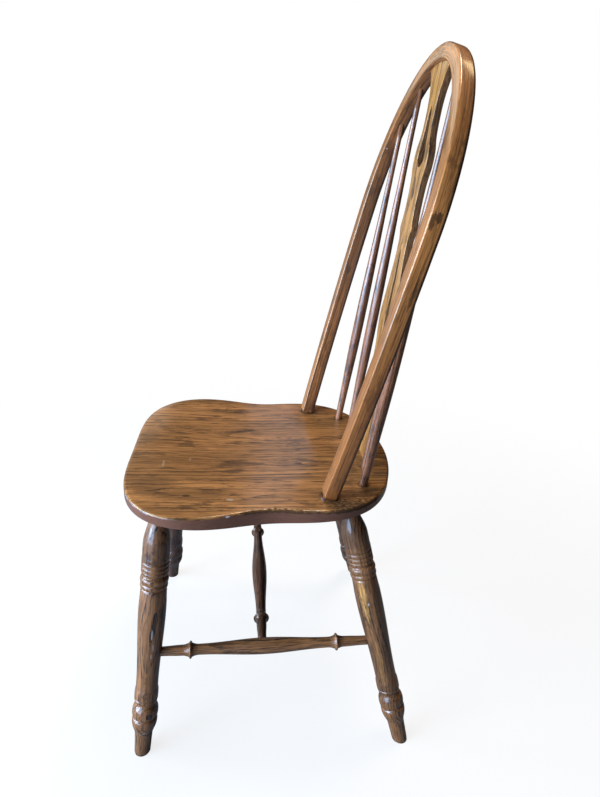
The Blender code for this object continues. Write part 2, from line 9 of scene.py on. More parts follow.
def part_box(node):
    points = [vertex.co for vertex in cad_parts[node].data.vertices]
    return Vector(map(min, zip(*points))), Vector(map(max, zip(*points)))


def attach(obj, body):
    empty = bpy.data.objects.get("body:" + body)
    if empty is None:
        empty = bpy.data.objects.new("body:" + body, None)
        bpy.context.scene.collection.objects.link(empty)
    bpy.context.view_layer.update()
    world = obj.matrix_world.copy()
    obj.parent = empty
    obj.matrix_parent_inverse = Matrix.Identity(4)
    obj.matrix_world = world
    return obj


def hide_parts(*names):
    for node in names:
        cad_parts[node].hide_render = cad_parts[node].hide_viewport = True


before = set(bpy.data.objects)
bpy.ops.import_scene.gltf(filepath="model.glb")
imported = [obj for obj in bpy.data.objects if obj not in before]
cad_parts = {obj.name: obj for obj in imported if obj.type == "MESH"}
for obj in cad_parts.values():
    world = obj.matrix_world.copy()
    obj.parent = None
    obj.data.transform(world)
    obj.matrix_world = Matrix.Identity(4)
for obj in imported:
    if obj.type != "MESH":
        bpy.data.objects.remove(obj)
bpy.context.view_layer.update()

# The place it stands in: a pale studio floor under soft lights. Two cool windows stand in
# front of the chair and a warm ceiling hangs over it. A narrow window and two walls on its far
# side show in its gloss, and only a small lamp stands at the rear, so its back stays dark.
scene = bpy.context.scene
scene.view_settings.view_transform = "Standard"


def studio_camera():
    """Camera at the place, turn and small roll of the photograph, its lens in picture points."""
    place = (0.81336, -0.05935, 0.85528)
    yaw, pitch, roll = 0.12140, 0.39174, 0.06362
    picture_height, focal_length, sideways = 797, 552.96, -1.1
    ahead = Vector((-math.cos(yaw) * math.cos(pitch), math.sin(yaw) * math.cos(pitch),
                    -math.sin(pitch)))
    level = Vector((math.sin(yaw), math.cos(yaw), 0))
    above = level.cross(ahead)
    right = level * math.cos(roll) + above * math.sin(roll)
    up = above * math.cos(roll) - level * math.sin(roll)
    lens = bpy.data.cameras.new("camera")
    lens.lens = focal_length * lens.sensor_width / picture_height
    lens.shift_x = sideways / picture_height
    lens.clip_end = 50
    camera = bpy.data.objects.new("camera", lens)
    scene.collection.objects.link(camera)
    turn = Matrix((right, up, -ahead)).transposed().to_4x4()
    camera.matrix_world = Matrix.Translation(place) @ turn
    scene.camera = camera


def window(name, place, target, width, height, watts, colour):
    """Rectangular soft light at a place, turned to a target."""
    lamp = bpy.data.lights.new(name, "AREA")
    lamp.shape = "RECTANGLE"
    lamp.size, lamp.size_y = width, height
    lamp.energy, lamp.color = watts, colour
    made = bpy.data.objects.new(name, lamp)
    scene.collection.objects.link(made)
    made.location = place
    made.rotation_euler = (Vector(target) - Vector(place)).to_track_quat("-Z", "Y").to_euler()


studio_camera()
window("front_window", (0.5, -3.0, 1.35), (0, 0, 0.5), 3.0, 1.8, 215, (0.62, 0.80, 1.0))
window("side_window", (1.85, -2.35, 0.95), (0, 0, 0.5), 2.6, 1.9, 120, (0.50, 0.70, 1.0))
window("far_window", (-2.6, 0.17, 2.1), (0, 0.0, 0.43), 0.34, 1.4, 1.3, (0.62, 0.76, 1.0))
window("far_wall", (-7.5, -2.4, 3.4), (0, 0.2, 1.0), 2.4, 1.4, 13, (1.0, 0.94, 0.80))
window("left_wall", (-3.0, -2.3, 0.80), (0, 0, 0.8), 3.6, 1.4, 5, (0.56, 0.74, 1.0))
window("ceiling", (-0.5, 0.35, 3.0), (0, 0, 0.4), 0.6, 1.2, 42, (1.0, 0.88, 0.74))
window("rear_lamp", (-1.07, 1.76, 3.27), (0.1, 0.2, 1.0), 0.7, 0.4, 5, (1.0, 0.76, 0.42))


class Signal:
    """A number, vector or colour running through a node tree, or with no socket the tree alone.

    + - * / and ** add Math nodes, and node adds any other.
    """

    def __init__(self, tree, socket=None):
        self.tree, self.socket = tree, socket

    def into(self, socket):
        """Lead this signal into an input."""
        self.tree.links.new(self.socket, socket)

    def node(self, kind, settings=None, sockets=None, output=0):
        """Add a node: its type, its settings, the values or signals of its sockets."""
        made = self.tree.nodes.new(kind)
        for key, value in (settings or {}).items():
            setattr(made, key, value)
        for key, value in (sockets or {}).items():
            if isinstance(value, Signal):
                value.into(made.inputs[key])
            else:
                made.inputs[key].default_value = value
        return Signal(self.tree, made.outputs[output])

    def math(self, operation, *others):
        """Math node of this signal and up to two others."""
        return self.node("ShaderNodeMath", {"operation": operation},
                         {i: part for i, part in enumerate((self, *others))})

    def __add__(self, other):
        return self.math("ADD", other)

    __radd__ = __add__

    def __sub__(self, other):
        return self.math("SUBTRACT", other)

    def __rsub__(self, other):
        return (self * -1) + other

    def __mul__(self, other):
        return self.math("MULTIPLY", other)

    __rmul__ = __mul__

    def __truediv__(self, other):
        return self.math("DIVIDE", other)

    def __pow__(self, other):
        return self.math("POWER", other)

    def step(self, low, high, start=0.0, end=1.0):
        """Smooth rise from start to end as the signal goes from low to high."""
        return self.node("ShaderNodeMapRange", {"interpolation_type": "SMOOTHSTEP"},
                         {"Value": self, "From Min": low, "From Max": high,
                          "To Min": start, "To Max": end})

    def between(self, first, second):
        """Colour that goes from the first to the second as the signal goes from 0 to 1."""
        return self.node("ShaderNodeMix", {"data_type": "RGBA"},
                         {0: self, 6: first, 7: second}, output=2)

    def scaled(self, x, y, z):
        """Vector signal stretched by three factors."""
        return self.node("ShaderNodeVectorMath", {"operation": "MULTIPLY"}, {0: self, 1: (x, y, z)})

    def length(self):
        """Length of a vector signal."""
        return self.node("ShaderNodeVectorMath", {"operation": "LENGTH"}, {0: self}, "Value")

    def parts(self):
        """The three numbers of a vector signal."""
        split = self.node("ShaderNodeSeparateXYZ", {}, {0: self})
        return [Signal(self.tree, number) for number in split.socket.node.outputs]

    def noise(self, x, y, z, detail=2.0, rough=0.5):
        """Cloudy noise of this vector, with x, y and z cells to the metre."""
        return self.node("ShaderNodeTexNoise", {"noise_dimensions": "3D"},
                         {"Vector": self.scaled(x, y, z), "Scale": 1.0, "Detail": detail,
                          "Roughness": rough})


# The world is white to the camera and almost dark to the chair.
world = bpy.data.worlds.new("studio")
scene.world = world
world.use_nodes = True
sky = world.node_tree
dim = sky.nodes["Background"]
dim.inputs["Color"].default_value = (0.86, 0.91, 1.0, 1)
dim.inputs["Strength"].default_value = 0.012
direct = Signal(sky).node("ShaderNodeLightPath", output="Is Camera Ray")
white = direct.node("ShaderNodeBackground", {}, {"Color": (1, 1, 1, 1)})
either = direct.node("ShaderNodeMixShader", {}, {0: direct, 1: Signal(sky, dim.outputs[0]),
                                                 2: white})
either.into(sky.nodes["World Output"].inputs["Surface"])

# The floor is pale to the camera and grey to the light that it throws back. Near the chair a
# fifth of it is paint that takes the shadow; further out it glows plain white.
floor_mesh = bpy.data.meshes.new("floor")
floor_mesh.from_pydata([(-9, -9, 0), (9, -9, 0), (9, 9, 0), (-9, 9, 0)], [], [(0, 1, 2, 3)])
floor = bpy.data.objects.new("floor", floor_mesh)
scene.collection.objects.link(floor)
floor_finish = bpy.data.materials.new("pale_floor")
floor_finish.use_nodes = True
ground = floor_finish.node_tree
paint = ground.nodes["Principled BSDF"]
paint.inputs["Roughness"].default_value = 0.9
direct = Signal(ground).node("ShaderNodeLightPath", output="Is Camera Ray")
direct.between((0.18, 0.18, 0.18, 1), (0.92, 0.92, 0.92, 1)).into(paint.inputs["Base Color"])
from_chair = direct.node("ShaderNodeTexCoord", output="Object").length()
glowing = direct * from_chair.step(0.40, 1.6, 0.80, 1.0)
either = glowing.node("ShaderNodeMixShader", {}, {0: glowing, 1: Signal(ground, paint.outputs[0]),
                                                  2: glowing.node("ShaderNodeEmission")})
either.into(ground.nodes["Material Output"].inputs["Surface"])
floor_mesh.materials.append(floor_finish)

# The seat: boards of oak glued side by side with the grain running front to back, shaped as
# one plank with a broad front, a waist and a round back. Its top is hollowed a little, its rim
# rounded and rubbed, and its underside cut away all round so that the edge looks thin.
SEAT_TOP, SEAT_THICK = 0.429, 0.032
SEAT_WIDE, SEAT_DEEP = 0.405, 0.412
RIM_ROUND, EDGE_DEEP, WAIST_DEEPER, UNDERCUT = 0.004, 0.0150, 0.0085, 0.032
BOWL_MIDDLE, BOWL_REACH, BOWL_DEPTH = -0.036, 0.155, 0.005
CHIP_PLACE, CHIP_SIZE, CHIP_DEPTH = (0.196, -0.102), 0.0032, 0.0012
SEAT_WAVES = (1.0, 0.0126, 0.0361, -0.0381, -0.0884, -0.0023, 0.0182)
CHAIR_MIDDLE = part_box("seat")[0][1] + SEAT_DEEP / 2


def seat_plan(theta):
    """Outline in plan: radius = sum of waves cos(k theta), scaled to the width and depth."""
    def circle(angle):
        """The waved circle before scaling, with angle 0 at the front."""
        radius = sum(wave * np.cos(k * angle) for k, wave in enumerate(SEAT_WAVES))
        return radius * np.sin(angle), -radius * np.cos(angle)
    wide, deep = circle(np.linspace(0, 2 * np.pi, 721))
    x, y = circle(theta)
    y = (y - (deep.min() + deep.max()) / 2) * SEAT_DEEP / (deep.max() - deep.min())
    return x * SEAT_WIDE / 2 / wide.max(), y


def seat_rings(around=400):
    """Rings from the middle of the top, over the rounded rim, to the middle of the underside.

    The top is flat less a bowl, (1 - d)^2 of the squared distance from its centre; the rim is
    a quarter circle with one small chip; the edge is upright, deeper at the waist; below it
    the surface runs in to the flat underside. Also gives how far each point lies below the
    uncut top.
    """
    theta = np.linspace(0, 2 * np.pi, around, endpoint=False)
    x, y = seat_plan(theta)
    size = np.hypot(x, y)
    edge = EDGE_DEEP + WAIST_DEEPER * np.abs(np.sin(theta)) ** 12
    steps = [(size * (1 - share), 0 * size) for share in np.linspace(0.01, 0.93, 62)]
    for turn in np.radians(np.linspace(0, 90, 9)):
        steps.append((RIM_ROUND * (1 - np.sin(turn)) + 0 * size,
                      RIM_ROUND * (1 - np.cos(turn)) + 0 * size))
    for share in (0.25, 0.5, 0.75, 0.92, 0.98):
        steps.append((0 * size, RIM_ROUND + (edge - RIM_ROUND) * share))
    for share in (0.02, 0.06, 0.2, 0.4, 0.6, 0.8, 0.95, 1.0):
        steps.append((UNDERCUT * share + 0 * size, edge + (SEAT_THICK - edge) * share))
    for share in (0.8, 0.6, 0.4, 0.2, 0.02):
        steps.append((size - (size - UNDERCUT) * share, SEAT_THICK + 0 * size))
    inward, drop = (np.array(part) for part in zip(*steps))
    px, py = x * (1 - inward / size), y * (1 - inward / size)
    bowl = np.clip(1 - (px ** 2 + (py - BOWL_MIDDLE) ** 2) / BOWL_REACH ** 2, 0, 1) ** 2
    top = np.minimum(drop + BOWL_DEPTH * bowl, SEAT_THICK)
    from_chip = (px - CHIP_PLACE[0]) ** 2 + (py - CHIP_PLACE[1]) ** 2
    chip = CHIP_DEPTH * np.exp(-from_chip / CHIP_SIZE ** 2)
    chip = chip * np.exp(-((drop - 0.003) / RIM_ROUND) ** 2)
    points = np.stack([px * (1 - chip / 0.2), py + CHAIR_MIDDLE, SEAT_TOP - top], axis=2)
    return points, drop


def mesh_of_rings(name, rings, grain):
    """Closed skin over rings of equal count, each joined to the next, the end ones to a pole.

    Each point keeps its place in the uncut board, in metres, as the attribute grain: across
    the board, through it, and along the wood's fibres.
    """
    rows, around = rings.shape[:2]
    points = np.concatenate([rings.reshape(-1, 3), [rings[0].mean(axis=0), rings[-1].mean(axis=0)]])
    boards = np.concatenate([grain.reshape(-1, 3), [grain[0].mean(axis=0), grain[-1].mean(axis=0)]])
    number = np.arange(rows * around).reshape(rows, around)
    ahead = np.roll(number, -1, axis=1)
    quads = np.stack([number[:-1], ahead[:-1], ahead[1:], number[1:]], axis=2).reshape(-1, 4)
    first_pole, last_pole = np.full(around, rows * around), np.full(around, rows * around + 1)
    fans = np.concatenate([np.stack([ahead[0], number[0], first_pole], axis=1),
                           np.stack([number[-1], ahead[-1], last_pole], axis=1)])
    corners = points[quads]
    volume = np.einsum("ij,ij->", corners[:, 0] - points.mean(axis=0),
                       np.cross(corners[:, 1] - corners[:, 0], corners[:, 2] - corners[:, 0]))
    if volume < 0:
        quads, fans = quads[:, ::-1], fans[:, ::-1]
    mesh = bpy.data.meshes.new(name)
    mesh.from_pydata(points.tolist(), [], quads.tolist() + fans.tolist())
    mesh.attributes.new("grain", "FLOAT_VECTOR", "POINT").data.foreach_set(
        "vector", boards.astype(np.float32).ravel())
    mesh.shade_smooth()
    made = bpy.data.objects.new(name, mesh)
    scene.collection.objects.link(made)
    return made


def shade(tone, share=1.0):
    """Tone made lighter or darker by a share."""
    return (*(share * part for part in tone), 1)


def oak(name, light, dark, pith, ring=0.0034, figure=1.0, coat=0.8, haze=0.16, boards=None,
        stains_and_painted_light=(), blotch=0.6, lines=1.0, marks=(), glint=(1.0, 0.66, 0.30)):
    """Stained and lacquered oak, cut from a log whose pith lies at a place in the board.

    Growth rings are cylinders round the pith, swayed by slow noise times figure. Each starts
    with a dark porous line, as strong as lines, and fades. Long thin pores hold the stain, a
    slow noise varies its depth, and blotch is how dark its patches are. With boards, the wood
    is glued up from boards of that width, each from another part of the log.
    Each entry of stains_and_painted_light lays a tone by an amount where one of the three board
    places passes from one value to another: stain, and on the bow also painted shade and a painted
    sheen. Each mark is a place and half sizes in the board, a tone, an amount and a dullness; the
    marks hold wear, spots and figure, and also painted shade and painted highlights. One without
    dullness lies in the wood, under the lines, and any other has rubbed the lacquer off. coat is
    the lacquer's weight, haze its roughness, and glint the tint of the shine under it.
    """
    made = bpy.data.materials.new(name)
    made.use_nodes = True
    shader = made.node_tree.nodes["Principled BSDF"]
    place = Signal(made.node_tree).node("ShaderNodeAttribute", {"attribute_name": "grain"},
                                        output="Vector")
    grain, board_places = place, place.parts()
    across, through, along = board_places
    if boards:
        board = ((across + 5.0) / boards).math("FLOOR")
        lot = board.node("ShaderNodeTexWhiteNoise", {"noise_dimensions": "1D"}, {"W": board}, 1)
        pick, tint, shift = lot.parts()
        middle = (board + 0.5) * boards - 5.0
        across = across - middle + (pick - 0.5) * 0.05
        along = along + shift * 3.0
        grain = across.node("ShaderNodeCombineXYZ", {}, {0: across, 1: through + shift, 2: along})
        through = through + tint * 0.02
    slow = grain.noise(11, 11, 3.2, 2.0) - 0.5
    sway = grain.noise(60, 60, 14, 2.0)
    span = ((across - pith[0]) ** 2.0 + (through - pith[1]) ** 2.0).math("SQRT")
    count = (span + slow * 0.034 * figure + (sway - 0.5) * 0.0045 * figure) / ring
    inside, which = count.math("FRACT"), count.math("FLOOR")
    strength = which.node("ShaderNodeTexWhiteNoise", {"noise_dimensions": "1D"}, {"W": which})
    uneven = strength.step(0.0, 1.0, 0.3, 1.0) * sway.step(0.3, 0.6, 0.3, 1.0)
    line = (1.0 - inside) ** 2.6 * uneven
    fibre = grain.noise(330, 330, 7, 3.0, 0.6)
    dash = grain.noise(700, 700, 45, 2.0)
    pore = dash.step(0.50, 0.60) * (line * 0.65 + 0.35)
    depth = grain.noise(16, 16, 4, 3.0)
    patch = grain.noise(38, 38, 16, 6.0, 0.7).step(0.53, 0.63)
    torn = place.noise(420, 420, 200, 3.0)

    def spot(centre, half, ragged):
        """Ragged patch round a place in the board: 1 inside, 0 outside its half sizes."""
        away = place.node("ShaderNodeVectorMath", {"operation": "SUBTRACT"}, {0: place, 1: centre})
        away = away.scaled(*(1 / size for size in half)).length()
        return (away + (torn - 0.5) * ragged).step(1.0, 0.55)

    wood = depth.step(0.42, 0.72).between(shade(light), shade(light, 1.55))
    for centre, half, tone, amount, dull in marks:
        if not dull:
            wood = (spot(centre, half, 0.9) * amount).between(wood, shade(tone))
    wood = (fibre.step(0.42, 0.62) * 0.6).between(wood, shade(light, 0.40))
    broken = dash.step(0.40, 0.56) * 0.7 + 0.3
    wood = (line.step(0.0, 0.62) * broken * lines).between(wood, shade(dark))
    wood = (patch * blotch).between(wood, shade(dark))
    wood = (pore * 0.8).between(wood, shade(dark, 0.35))
    for axis, low, high, tone, amount in stains_and_painted_light:
        wood = (board_places[axis].step(low, high) * amount).between(wood, shade(tone))
    rubbed = 0.0
    for centre, half, tone, amount, dull in marks:
        if dull:
            mask = spot(centre, half, 1.5)
            wood = (mask * amount).between(wood, shade(tone))
            rubbed = (mask * dull).math("MAXIMUM", rubbed)
    rough = 0.42 + pore * 0.2 + (depth - 0.5) * 0.15 + rubbed * 0.3
    polish = (coat - pore * 0.25) * (1.0 - rubbed)
    wood.into(shader.inputs["Base Color"])
    rough.into(shader.inputs["Roughness"])
    polish.into(shader.inputs["Coat Weight"])
    shader.inputs["Coat Roughness"].default_value = haze
    shader.inputs["Specular IOR Level"].default_value = 0.4
    shader.inputs["Specular Tint"].default_value = (*glint, 1)
    relief = fibre * 0.25 - pore - line * 0.3
    bump = relief.node("ShaderNodeBump", {}, {"Strength": 0.5, "Distance": 0.00022,
                                              "Height": relief})
    bump.into(shader.inputs["Normal"])
    return made


# Wear and painted light on the seat: a pale line along the front left rim, partly wear and
# partly painted highlight; two nicks painted whitish, bare wood with a painted highlight;
# painted shade on the rim further back, where its lacquer is also dulled; scratches, a knot
# and mottled darker spots on top; and dark patches on the seat near the feet of the bow and
# the spindles, with a small pale bluish spot near each bow foot.
rim_wear_and_highlight, bare_wood_and_highlight, scratched = (0.40, 0.35, 0.38), (0.62, 0.60, 0.62), (0.42, 0.30, 0.20)
dark_tone, pale_bluish_tone = (0.034, 0.016, 0.010), (0.36, 0.38, 0.44)
# A pale lavender line along the front left rim: partly wear, partly painted highlight.
seat_wear_and_painted_light = [((0.1457, -0.0030, -0.2083), (0.009, 0.0016, 0.009), rim_wear_and_highlight, 0.5, 0.3),
             ((0.1630, -0.0030, -0.1933), (0.012, 0.0014, 0.012), rim_wear_and_highlight, 0.5, 0.3),
             ((0.1800, -0.0030, -0.1750), (0.012, 0.0014, 0.014), rim_wear_and_highlight, 0.5, 0.3),
             ((0.1940, -0.0030, -0.1480), (0.006, 0.0014, 0.014), rim_wear_and_highlight, 0.5, 0.3),
             # Two nicks in the rim: bare wood, painted whitish as its highlight.
             ((0.1960, -0.0036, -0.1080), (0.005, 0.0026, 0.006), bare_wood_and_highlight, 0.9, 0.9),
             ((0.1950, -0.0028, -0.0709), (0.003, 0.0016, 0.004), bare_wood_and_highlight, 0.9, 0.9),
             # Painted shade on the rim further back, its lacquer dulled too.
             ((0.1900, -0.0028, -0.0030), (0.020, 0.0040, 0.070), (0.070, 0.032, 0.016), 0.95, 1.0),
             ((0.1700, -0.0028, 0.1050), (0.040, 0.0040, 0.070), (0.060, 0.028, 0.016), 0.95, 1.0),
             ((0.0555, 0.0, -0.1722), (0.014, 0.002, 0.0022), scratched, 0.5, 0.5),
             ((0.0394, 0.0, -0.1336), (0.006, 0.002, 0.0016), scratched, 0.5, 0.5),
             ((0.1571, 0.0, -0.0691), (0.003, 0.002, 0.0060), (0.46, 0.36, 0.28), 0.6, 0.5),
             ((0.1467, 0.0, -0.1298), (0.004, 0.003, 0.0070), dark_tone, 0.85, 0),
             ((0.1150, 0.0, -0.1800), (0.024, 0.004, 0.042), dark_tone, 0.35, 0),
             ((0.1440, 0.0, -0.1250), (0.020, 0.004, 0.075), dark_tone, 0.40, 0),
             ((-0.0386, 0.0, -0.2065), (0.030, 0.004, 0.020), dark_tone, 0.35, 0)]
# Dark patches on the seat near the feet of the bow and the spindles, and a small pale bluish spot
# near each bow foot.
for side in (1, -1):
    seat_wear_and_painted_light += [((side * 0.1495, 0.0, 0.0720), (0.0195, 0.003, 0.0195), dark_tone, 0.9, 0),
                  ((side * 0.1180, 0.0, 0.1270), (0.0120, 0.003, 0.0120), dark_tone, 0.8, 0),
                  ((side * 0.0670, 0.0, 0.1390), (0.0110, 0.003, 0.0110), dark_tone, 0.8, 0),
                  ((side * 0.1560, 0.0, 0.0605), (0.0060, 0.002, 0.0030), pale_bluish_tone, 0.7, 0)]

rings, sunk = seat_rings()
board_place = np.stack([rings[..., 0], -sunk, rings[..., 1]], axis=2)
seat = mesh_of_rings("seat_plank", rings, board_place)
seat.data.materials.append(oak("seat_oak", (0.345, 0.150, 0.047), (0.046, 0.022, 0.012),
                               (0.0, -0.034), ring=0.0060, boards=0.102, coat=0.85, lines=0.85,
                               stains_and_painted_light=((1, -0.0012, -0.0036, (0.150, 0.056, 0.040), 0.90),),
                               marks=seat_wear_and_painted_light))
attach(seat, "root")
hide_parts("seat")

# The legs: four oak turnings, splayed and let into blind holes under the seat. From the floor
# up they have a plain tapered foot, two rolls with a groove between, a cove, a flat collar, a
# long swelling shank, a pair of beads, and a vase with fine scored rings round its foot.
SEAT_UNDER = SEAT_TOP - SEAT_THICK
SEAT_HALF, SEAT_REACH = SEAT_WIDE / 2, SEAT_DEEP / 2
FRONT_TOP, FRONT_SPLAY = (SEAT_HALF - 0.0685, SEAT_REACH - 0.0568), (0.0705, 0.0313)
REAR_TOP, REAR_SPLAY = (SEAT_HALF - 0.0767, SEAT_REACH - 0.0800), (0.0803, 0.1075)
REAR_LIFT = 0.0075
ANKLE_HEIGHT, COVE_HEIGHT, COLLAR_RISE = 0.0630, 0.0885, 0.024
SWELL_DROP, BEADS_DROP, VASE_DROP = 0.153, 0.109 + 0.0083, 0.058
FOOT_RADIUS, SHIN_RADIUS, ANKLE_RADIUS, COVE_RADIUS = 0.0122, 0.0133, 0.0190, 0.0144
COLLAR_RADIUS, SHANK_RADIUS, SWELL_RADIUS, BEADS_RADIUS = 0.0178, 0.0164, 0.0202, 0.0176
LOWER_BEAD, UPPER_BEAD = (0.0083, 0.0201), (0.0105, 0.0207)
SCORE_SPACING, SCORED_RADIUS = 0.0071, 0.0201
VASE_RADIUS, TENON_RADIUS = 0.0198, 0.0127


def roll(low, high, edge, peak, steps=9):
    """Bead of a turned profile: half an ellipse standing on its edge radius."""
    share = (np.arange(steps) + 1) / (steps + 1)
    return [(low + (high - low) * t, edge + (peak - edge) * math.sqrt(1 - (2 * t - 1) ** 2))
            for t in share]


def ease(low, high, start, end, steps=12):
    """Smooth run of a turned profile from one radius to another: half a cosine wave."""
    share = (np.arange(steps) + 1) / (steps + 1)
    return [(low + (high - low) * t, start + (end - start) * (1 - math.cos(math.pi * t)) / 2)
            for t in share]


def score(height, radius, depth=0.0012):
    """Fine groove cut round a turned piece, 2.4 mm wide with a rounded bottom."""
    offsets = (-0.0012, -0.0008, -0.0004, 0.0, 0.0004, 0.0008, 0.0012)
    cuts = (0.0, 0.35, 0.85, 1.0, 0.85, 0.35, 0.0)
    return [(height + along, radius - depth * cut) for along, cut in zip(offsets, cuts)]


def leg_profile(lift):
    """Heights above the floor and radii of a leg, its rings and vase set higher by the lift."""
    points = [(0.0, 0.0117), (0.0008, 0.0121), (0.004, FOOT_RADIUS), (0.012, 0.0125)]
    points += [(0.022, 0.0129), (0.031, SHIN_RADIUS)]
    ankle, cove = ANKLE_HEIGHT, COVE_HEIGHT
    points += ease(0.031, ankle - 0.007, SHIN_RADIUS, ANKLE_RADIUS)
    points += [(ankle - 0.007, ANKLE_RADIUS), (ankle - 0.005, 0.01905), (ankle - 0.0025, 0.0189)]
    points += [(ankle - 0.0012, 0.0181), (ankle - 0.0004, 0.0168), (ankle + 0.0006, 0.0166)]
    points += roll(ankle + 0.0006, cove - 0.006, 0.0168, 0.0196, 14)
    points += [(cove - 0.004, 0.0161), (cove - 0.002, 0.0149), (cove, COVE_RADIUS)]
    points += [(cove + 0.0015, 0.0150), (cove + 0.003, 0.0164), (cove + 0.0045, 0.0173)]
    points += [(cove + 0.0060, 0.0175)]
    points += score(cove + 0.008, 0.0177)
    points += [(cove + 0.0105, COLLAR_RADIUS), (cove + 0.016, COLLAR_RADIUS)]
    points += [(cove + 0.021, 0.0176)]
    collar = cove + COLLAR_RISE
    points += [(collar - 0.001, 0.0173), (collar + 0.001, 0.0167), (collar + 0.003, SHANK_RADIUS)]
    under = SEAT_UNDER + lift
    swell, beads = under - SWELL_DROP, under - BEADS_DROP
    points += ease(collar + 0.009, swell, SHANK_RADIUS, SWELL_RADIUS, 24)
    points += [(swell, SWELL_RADIUS), (swell + (beads - swell) * 0.35, 0.0200)]
    points += [(swell + (beads - swell) * 0.6, 0.0194), (beads - 0.004, 0.0191)]
    points += [(beads - 0.0018, 0.0188), (beads - 0.0006, 0.0181), (beads, BEADS_RADIUS)]
    middle = beads + LOWER_BEAD[0]
    neck = middle + UPPER_BEAD[0]
    points += roll(beads, middle, BEADS_RADIUS, LOWER_BEAD[1])
    points += [(middle, 0.0189)]
    points += roll(middle, neck, 0.0174, UPPER_BEAD[1])
    points += [(neck, 0.0173), (neck + 0.001, 0.0171), (neck + 0.002, 0.0173)]
    points += [(neck + 0.003, 0.0184), (neck + 0.0045, 0.0193), (neck + 0.006, 0.0198)]
    for ring in (1, 2, 3):
        points += score(neck + 0.002 + ring * SCORE_SPACING, SCORED_RADIUS)
    vase = under - VASE_DROP
    points += [(vase - 0.012, SCORED_RADIUS), (vase - 0.0105, 0.0199), (vase - 0.009, 0.0197)]
    points += [(vase - 0.004, 0.01985), (vase, 0.0199), (vase + 0.008, VASE_RADIUS)]
    points += ease(vase + 0.008, SEAT_UNDER - 0.005, VASE_RADIUS, TENON_RADIUS, 16)
    points += [(SEAT_UNDER - 0.005, TENON_RADIUS), (SEAT_UNDER + 0.012, TENON_RADIUS)]
    return np.array(points)


def turning(name, start, end, profile, pith, around=72, level=False):
    """Profile carried round the line from start to end: centre(h) + r(h)(cos a, sin a).

    With level, the first ring slides along the line on to the floor. The wood's fibres run
    along the line, and pith moves the piece in its log so that each shows its own figure.
    """
    start, end = np.array(start), np.array(end)
    line = (end - start) / np.linalg.norm(end - start)
    side = np.cross((0, 1, 0), line)
    if np.linalg.norm(side) < 0.5:
        side = np.cross((0, 0, 1), line)
    side = side / np.linalg.norm(side)
    other = np.cross(line, side)
    angle = np.linspace(0, 2 * np.pi, around, endpoint=False)
    height, radius = profile[:, 0, None], profile[:, 1, None]
    a, b = radius * np.cos(angle), radius * np.sin(angle)
    rings = (start + height[..., None] * line + a[..., None] * side + b[..., None] * other)
    if level:
        slide = -rings[:, :, 2] / line[2]
        slide = np.where(rings[:, :, 2] < 0.0, slide, 0.0)
        slide[0] = -rings[0, :, 2] / line[2]
        rings = rings + slide[..., None] * line
    board = np.stack([a + pith[0], b + pith[1], height + 0 * a + pith[2]], axis=2)
    return mesh_of_rings(name, rings, board)


def leg_line(row, side):
    """Foot on the floor and top at the seat's underside on a leg's centre line."""
    top, splay = (FRONT_TOP, FRONT_SPLAY) if row == "front" else (REAR_TOP, REAR_SPLAY)
    toward = -1 if row == "front" else 1
    foot = (side * (top[0] + splay[0]), toward * (top[1] + splay[1]) + CHAIR_MIDDLE, 0.0)
    head = (side * top[0], toward * top[1] + CHAIR_MIDDLE, SEAT_UNDER)
    return np.array(foot), np.array(head)


turned_light, turned_dark = (0.330, 0.135, 0.048), (0.013, 0.007, 0.007)
shadowed, cool_glint = (0.120, 0.050, 0.028), (0.6, 0.8, 1.0)
scuffed, dark_figure_and_shade = (0.50, 0.46, 0.45), (0.030, 0.016, 0.010)
# Wear, figure and painted shade on the left legs: scuffs, a knot, painted shade on the upper
# ends under the seat, a darker band low on the rear one's shank, and on the rear one pale ovals
# of flat grain in a side that is dark partly from speckled figure and partly from painted shade.
leg_wear_and_painted_shade = [((0.0525, 0.0182, 0.4169), (0.004, 0.0013, 0.010), scuffed, 0.7, 0.7),
            ((0.0517, 0.0208, 0.3948), (0.004, 0.0012, 0.008), scuffed, 0.6, 0.7),
            ((0.0523, 0.0190, 0.3784), (0.004, 0.0011, 0.006), scuffed, 0.6, 0.7),
            ((0.0528, 0.0169, 0.2428), (0.005, 0.0060, 0.0014), scuffed, 0.8, 0.7),
            ((0.0528, 0.0117, 0.5477), (0.004, 0.0030, 0.0036), (0.10, 0.036, 0.016), 0.8, 0),
            # One side of the rear leg made dark: partly speckled figure, partly painted shade.
            ((0.0353, 0.0460, 1.3300), (0.012, 0.0100, 0.140), dark_figure_and_shade, 0.55, 0),
            ((0.0362, 0.0235, 1.3690), (0.012, 0.0088, 0.056), dark_figure_and_shade, 0.75, 0),
            ((0.0362, 0.0235, 1.3720), (0.012, 0.0068, 0.046), (0.80, 0.37, 0.105), 0.95, 0),
            ((0.0380, 0.0272, 1.2600), (0.012, 0.0056, 0.050), (0.62, 0.28, 0.085), 0.85, 0),
            ((0.0385, 0.0286, 1.3646), (0.004, 0.0016, 0.0030), scuffed, 0.9, 0.8),
            # These three darken the legs all round: painted shade on the upper ends under the seat,
            # and a darker band low on the rear one's shank.
            ((0.0340, 0.0140, 0.5750), (0.060, 0.0600, 0.070), dark_figure_and_shade, 0.40, 0),
            ((0.0200, 0.0330, 1.5000), (0.060, 0.0600, 0.070), dark_figure_and_shade, 0.35, 0),
            ((0.0200, 0.0330, 1.2400), (0.060, 0.0600, 0.090), dark_figure_and_shade, 0.28, 0)]
leg_oak = oak("leg_oak", turned_light, turned_dark, (0.0, 0.0), coat=0.95, haze=0.09,
              glint=cool_glint, marks=leg_wear_and_painted_shade)
